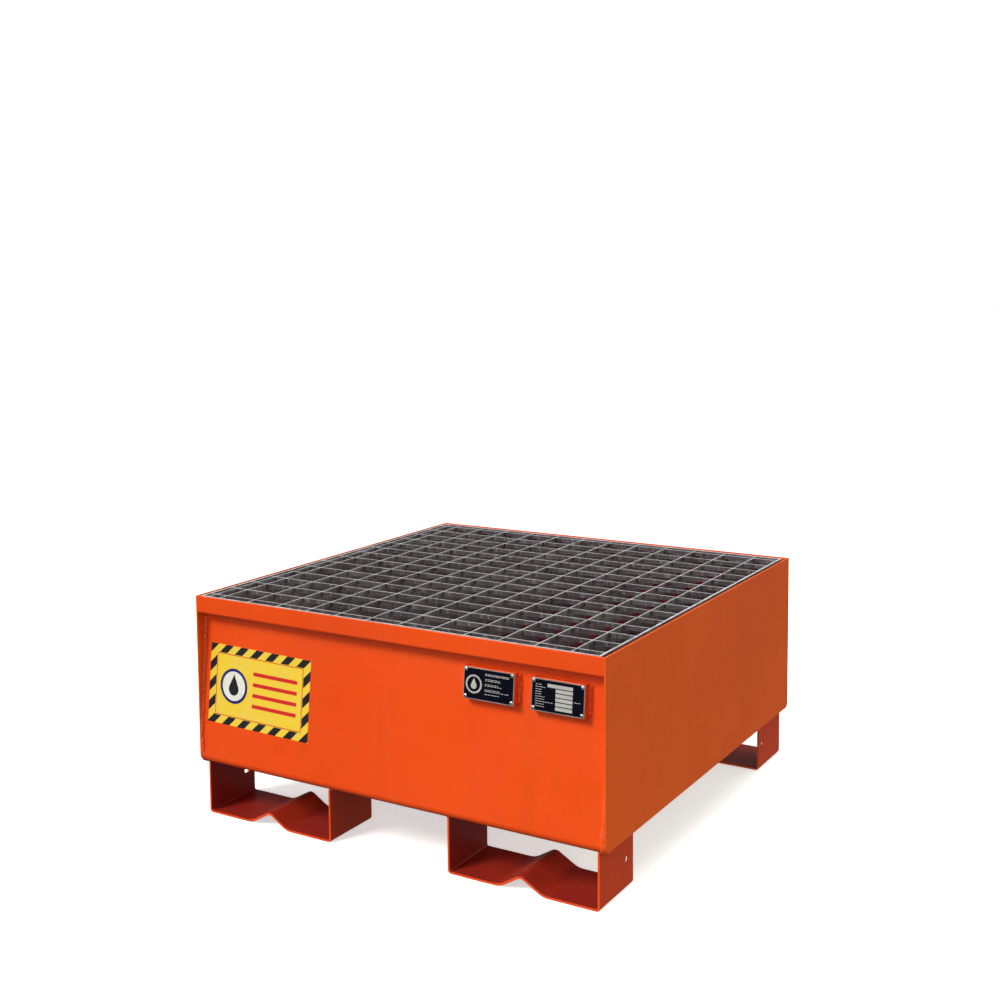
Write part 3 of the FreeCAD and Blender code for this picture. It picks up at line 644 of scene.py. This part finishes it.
def build_right_plate():
    """Rows of small print at the left, six blank fields beside them."""
    black, silver = plate_layers("right")
    top, pitch = 17.2, 7.1
    for row in range(6):
        width = 46.0 if row == 0 else 31.0
        silver.bar((27.0 - width / 2, top - pitch * row), width, 5.6, FIELD_HIGH, PRINT_HIGH)
    noise.seed_set(12)
    for row in range(10):
        width = 34.0 if row == 7 else 12.0 + 7.0 * noise.random()
        text_row(silver, -41.0, 17.0 - 3.9 * row, width, 1.0)
    text_row(silver, 29.5, -3.5, 13.0, 1.0)
    black.build()
    silver.build()


# ---- weld beads --------------------------------------------------------------------------------

RIPPLE = 4.2 * MM
STEP = 0.7 * MM
SEAM_TOP, SEAM_BOTTOM = 0.377, 0.120
SEAM_LEG, FOOT_LEG, BRACKET_LEG = 5.2 * MM, 4.0 * MM, 6.2 * MM
FOOT_BEAD_MARGIN = 2 * MM
BRACKET_BEAD_REACH = 26.0 * MM
CORNER_TUBE = 4.6 * MM
CORNER_RISE = 30.0 * MM
CORNER_INSET = 6.2 * MM
CORNER_SINK = 0.6 * MM
CORNER_POINTS = 12


def bead_size(distance, length, seed):
    """Relative size along a bead: overlapping ripples, slow swelling, rounded ends."""
    ripple = 1.0 - 0.16 * (distance / RIPPLE % 1.0) ** 1.5
    swell = 1.0 + 0.16 * noise.noise(Vector((distance * 55.0, seed, 0.0)))
    near_end = min(distance, length - distance) / (3.0 * MM)
    ends = math.sqrt(max(0.02, 1.0 - (1.0 - min(1.0, near_end)) ** 2))
    return ripple * swell * ends


def sweep(points, sections):
    """Points and faces of a closed tube through sections of equal length."""
    start, count = len(points), len(sections[0])
    for section in sections:
        points.extend(section)
    faces = []
    for i in range(len(sections) - 1):
        for j in range(count):
            a, b = start + i * count + j, start + i * count + (j + 1) % count
            faces.append([a, b, b + count, a + count])
    last = start + (len(sections) - 1) * count
    faces.append([start + j for j in reversed(range(count))])
    faces.append([last + j for j in range(count)])
    return faces


def fillet_section(corner, first, second, leg, seed):
    """Crowned fillet between two faces that meet at a corner; first and second lie in them."""
    section = [corner - (first + second) * 0.25 * MM]
    for i in range(9):
        angle = math.radians(90 * i / 8)
        c, s = math.cos(angle), math.sin(angle)
        reach = leg * (1.0 + 0.20 * math.sin(2 * angle)) / (c + s)
        wobble = 1.0 + 0.22 * noise.noise(corner * 300.0 + Vector((i * 0.6, seed, 0.0)))
        section.append(corner + (first * c + second * s) * reach * wobble)
    return section


def straight_bead(points, start, end, first, second, leg, seed, shape=None):
    """Fillet from start to end; shape may change each point of the finished surface."""
    length = (end - start).length
    along = (end - start) / length
    sections = []
    for i in range(int(length / STEP) + 1):
        distance = i * STEP
        size = leg * bead_size(distance, length, seed)
        section = fillet_section(start + along * distance, first, second, size, seed)
        sections.append([shape(p) for p in section] if shape else section)
    if first.cross(second).dot(along) < 0:
        sections = [section[::-1] for section in sections]
    return sweep(points, sections)


def bead_piece(name, points, faces, *nodes):
    mesh = bpy.data.meshes.new(name)
    mesh.from_pydata(points, [], faces)
    mesh.update()
    for polygon in mesh.polygons:
        polygon.use_smooth = True
    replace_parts(place_piece(name, mesh, WELD_PAINT, "orange_paint", "tank"), *nodes)


def lower_corner_bead(points, side, end, seed):
    """Thick bead round the lower corner of a side plate, from the wall to the underside."""
    shell_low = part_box("tank_shell")[0]
    plate_low, plate_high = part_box("side_plate_right")
    proud = CAD_BOX[0].y + 0.1 * MM
    centre_y, centre_z = plate_low.y + FLOOR_BEND, shell_low.z + FLOOR_BEND
    run = FLOOR_BEND * math.pi / 2
    total = CORNER_RISE + run * 0.92
    middle_x = plate_high.x - CORNER_INSET
    sections = []
    for i in range(int(total / STEP) + 1):
        distance = i * STEP
        growth = 0.5 + 0.5 * min(1.0, distance / CORNER_RISE)
        size = CORNER_TUBE * growth * bead_size(distance, total, seed)
        if distance < CORNER_RISE:
            base = Vector((0.0, plate_low.y, centre_z + CORNER_RISE - distance))
            outward = Vector((0.0, -1.0, 0.0))
        else:
            turn = (distance - CORNER_RISE) / FLOOR_BEND
            outward = Vector((0.0, -math.cos(turn), -math.sin(turn)))
            base = Vector((0.0, centre_y, centre_z)) + outward * FLOOR_BEND
        section = []
        for j in range(CORNER_POINTS):
            angle = 2 * math.pi * j / CORNER_POINTS
            across = math.cos(angle) * 1.35
            # The root stays inside the sheet, so that nothing shows in the tank.
            lift = math.sin(angle) * (0.2 if math.sin(angle) < 0 else 0.5)
            wobble = 1.0 + 0.42 * noise.noise(base * 230.0 + Vector((j * 0.5, seed, 1.0)))
            point = base + outward * (lift * size * wobble - CORNER_SINK)
            point.x = middle_x + across * size * wobble
            point.y = max(point.y, proud)
            point.x = min(point.x, plate_high.x - 0.05 * MM)
            section.append(Vector((side * point.x, -end * point.y, point.z)))
        sections.append(section)
    if side * end > 0:
        sections = [section[::-1] for section in sections]
    return sweep(points, sections)


def build_seam_welds():
    plate_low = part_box("side_plate_right")[0]
    inner_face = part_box("tank_shell")[1].x
    outward = wall_outward()
    limit = plate_low.y - 0.3 * MM
    for end, end_name in ((-1, "front"), (1, "rear")):
        for side, side_name in ((-1, "left"), (1, "right")):
            seed = 3.0 * end + side
            top = wall_point(inner_face, SEAM_TOP)
            bottom = wall_point(inner_face, SEAM_BOTTOM)
            into = Vector((-side, 0.0, 0.0))
            out = Vector((0.0, -end * outward.y, outward.z))

            def keep_inside(p):
                return Vector((p.x, -end * max(-end * p.y, limit), p.z))

            points = []
            start = Vector((side * top.x, -end * top.y, top.z))
            finish = Vector((side * bottom.x, -end * bottom.y, bottom.z))
            faces = straight_bead(points, start, finish, into, out, SEAM_LEG, seed, keep_inside)
            faces += lower_corner_bead(points, side, end, seed + 0.5)
            bead_piece(f"seam_bead_{end_name}_{side_name}", points, faces,
                       f"seam_weld_{end_name}_{side_name}")


def build_foot_welds():
    """Beads under the tank along both legs of every foot."""
    points, faces = [], []
    down = Vector((0.0, 0.0, -1.0))
    for end in ("front", "rear"):
        for side in ("left", "right"):
            low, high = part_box(f"foot_{end}_{side}")
            for x, outwards in ((low.x, -1), (high.x, 1)):
                start = Vector((x, low.y + FOOT_BEAD_MARGIN, high.z))
                finish = Vector((x, high.y - FOOT_BEAD_MARGIN, high.z))
                faces += straight_bead(points, start, finish, Vector((outwards, 0.0, 0.0)), down,
                                       FOOT_LEG, x * 40.0)
    bead_piece("foot_beads", points, faces, "foot_weld_beads")


def build_bracket_welds():
    """Beads beside both legs of every nameplate bracket."""
    points, faces = [], []
    out = wall_outward()
    for side in ("left", "right"):
        low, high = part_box("nameplate_bracket_" + side)
        level = (low.z + high.z) / 2
        for x, outwards in ((low.x, -1), (high.x, 1)):
            faces += straight_bead(points, wall_point(x, level + BRACKET_BEAD_REACH),
                                   wall_point(x, level - BRACKET_BEAD_REACH),
                                   Vector((outwards, 0.0, 0.0)), out, BRACKET_LEG, x * 30.0)
    bead_piece("bracket_beads", points, faces, "bracket_weld_beads")


# ---- zinc at the crossings of the grating ------------------------------------------------------


def lump(points, centre, radii, seed, rings=5, count=8):
    """Small rounded lump of zinc."""
    top = len(points)
    points.append(centre + Vector((0.0, 0.0, radii[2])))
    for ring in range(1, rings):
        tilt = math.pi * ring / rings
        for i in range(count):
            turn = 2 * math.pi * i / count
            direction = Vector((math.sin(tilt) * math.cos(turn), math.sin(tilt) * math.sin(turn),
                                math.cos(tilt)))
            size = 1.0 + 0.18 * noise.noise(direction * 1.7 + Vector((seed, 0.0, 0.0)))
            points.append(centre + Vector([d * r * size for d, r in zip(direction, radii)]))
    bottom = len(points)
    points.append(centre - Vector((0.0, 0.0, radii[2])))
    first, last = top + 1, bottom - count
    faces = []
    for i in range(count):
        j = (i + 1) % count
        faces.append([top, first + i, first + j])
        faces.append([bottom, last + j, last + i])
        for ring in range(rings - 2):
            a, b = first + ring * count + i, first + ring * count + j
            faces.append([a, a + count, b + count, b])
    return faces


def build_zinc_lumps():
    """Zinc gathered where bars cross and where they meet the frame."""
    bearing = [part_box(n) for n in sorted(NODES) if n.startswith("bearing_bar")]
    crossing = [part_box(n) for n in sorted(NODES) if n.startswith("cross_bar")]
    columns = [(low.x + high.x) / 2 for low, high in bearing]
    rows = [(low.y + high.y) / 2 for low, high in crossing]
    height = crossing[0][1].z
    ends_x = (crossing[0][0].x, crossing[0][1].x)
    ends_y = (bearing[0][0].y, bearing[0][1].y)
    places = [(x, y, 1.0) for x in columns for y in rows]
    places += [(x, y, 0.85) for x in ends_x for y in rows]
    places += [(x, y, 0.85) for x in columns for y in ends_y]
    points, faces = [], []
    for number, (x, y, share) in enumerate(places):
        size = share * (1.0 + 0.25 * noise.noise(Vector((x * 31.0, y * 31.0, 2.0))))
        radii = (2.5 * MM * size, 2.5 * MM * size, 1.6 * MM * size)
        faces += lump(points, Vector((x, y, height - 2.2 * MM)), radii, number * 0.37)
    mesh = bpy.data.meshes.new("zinc_lumps")
    mesh.from_pydata(points, [], faces)
    mesh.update()
    for polygon in mesh.polygons:
        polygon.use_smooth = True
    place_piece("zinc_lumps", mesh, ZINC, "galvanised_steel", "grating")


# ---- stage, light and camera -------------------------------------------------------------------

CAMERA_PLACE = (1.360, -2.293, 1.0157)
CAMERA_AZIMUTH = 30.97
CAMERA_PITCH = 5.24
CAMERA_ROLL = -0.48
CAMERA_LENS = 48.99
CAMERA_SHIFT = -0.10
FLOOR_HALF = 30.0


def build_floor():
    mesh = bpy.data.meshes.new("floor")
    signs = ((-1, -1), (1, -1), (1, 1), (-1, 1))
    corners = [(x * FLOOR_HALF, y * FLOOR_HALF, 0) for x, y in signs]
    mesh.from_pydata(corners, [], [(0, 1, 2, 3)])
    mesh.materials.append(floor_finish("floor_finish"))
    floor = bpy.data.objects.new("studio_floor", mesh)
    SCENE.collection.objects.link(floor)
    # Its bounced light would wash out the feet, which are dark inside.
    floor.visible_diffuse = False
    floor.visible_glossy = False


def sun(name, azimuth, elevation, strength, softness, colour):
    """Wide soft light from far away, so that the whole floor is lit alike. Angles in degrees."""
    light = bpy.data.lights.new(name, "SUN")
    light.energy = strength
    light.angle = math.radians(softness)
    light.color = colour
    lamp = bpy.data.objects.new(name, light)
    a, e = math.radians(azimuth), math.radians(elevation)
    towards = Vector((math.sin(a) * math.cos(e), -math.cos(a) * math.cos(e), math.sin(e)))
    lamp.rotation_mode = "QUATERNION"
    lamp.rotation_quaternion = (-towards).to_track_quat("-Z", "Y")
    SCENE.collection.objects.link(lamp)


def build_world(strength):
    """White to the eye, dim as a light, so that painted faces keep their colour."""
    world = bpy.data.worlds.new("studio")
    world.use_nodes = True
    tree = world.node_tree
    dim = tree.nodes["Background"]
    dim.inputs["Color"].default_value = (1.0, 0.93, 0.95, 1.0)
    dim.inputs["Strength"].default_value = strength
    white = tree.nodes.new("ShaderNodeBackground")
    white.inputs["Color"].default_value = (1.0, 1.0, 1.0, 1.0)
    seen = tree.nodes.new("ShaderNodeLightPath").outputs["Is Camera Ray"]
    mix = tree.nodes.new("ShaderNodeMixShader")
    tree.links.new(seen, mix.inputs[0])
    tree.links.new(dim.outputs[0], mix.inputs[1])
    tree.links.new(white.outputs[0], mix.inputs[2])
    tree.links.new(mix.outputs[0], tree.nodes["World Output"].inputs["Surface"])
    SCENE.world = world


def build_lights():
    build_world(0.09)
    sun("front", 12.0, 12.0, 1.0, 50.0, (1.0, 0.99, 0.90))
    sun("upper_front", -28.0, 42.0, 2.80, 20.0, (1.0, 0.985, 0.90))
    sun("overhead", 165.0, 74.0, 1.45, 40.0, (1.0, 0.99, 1.0))
    sun("side_fill", 98.0, 12.0, 1.50, 50.0, (0.95, 1.0, 0.60))
    sun("rear_fill", 160.0, 28.0, 1.10, 50.0, (1.0, 0.99, 0.90))
    sun("left_fill", 282.0, 20.0, 1.30, 50.0, (1.0, 0.99, 0.90))


def build_camera():
    az, pitch, roll = (math.radians(a) for a in (CAMERA_AZIMUTH, CAMERA_PITCH, CAMERA_ROLL))
    back = Vector((math.sin(az) * math.cos(pitch), -math.cos(az) * math.cos(pitch),
                   math.sin(pitch)))
    right = Vector((math.cos(az), math.sin(az), 0.0))
    up = back.cross(right)
    turned_right = math.cos(roll) * right + math.sin(roll) * up
    turned_up = -math.sin(roll) * right + math.cos(roll) * up
    data = bpy.data.cameras.new("camera")
    data.lens = CAMERA_LENS
    data.sensor_width = 36.0
    data.shift_y = CAMERA_SHIFT
    camera = bpy.data.objects.new("camera", data)
    turn = Matrix((turned_right, turned_up, back)).transposed().to_4x4()
    camera.matrix_world = Matrix.Translation(CAMERA_PLACE) @ turn
    SCENE.collection.objects.link(camera)
    SCENE.camera = camera


SCENE.view_settings.view_transform = "Standard"
dress_all()
build_tank_sheet()
build_label()
build_left_plate()
build_right_plate()
build_seam_welds()
build_foot_welds()
build_bracket_welds()
build_zinc_lumps()
build_floor()
build_lights()
build_camera()
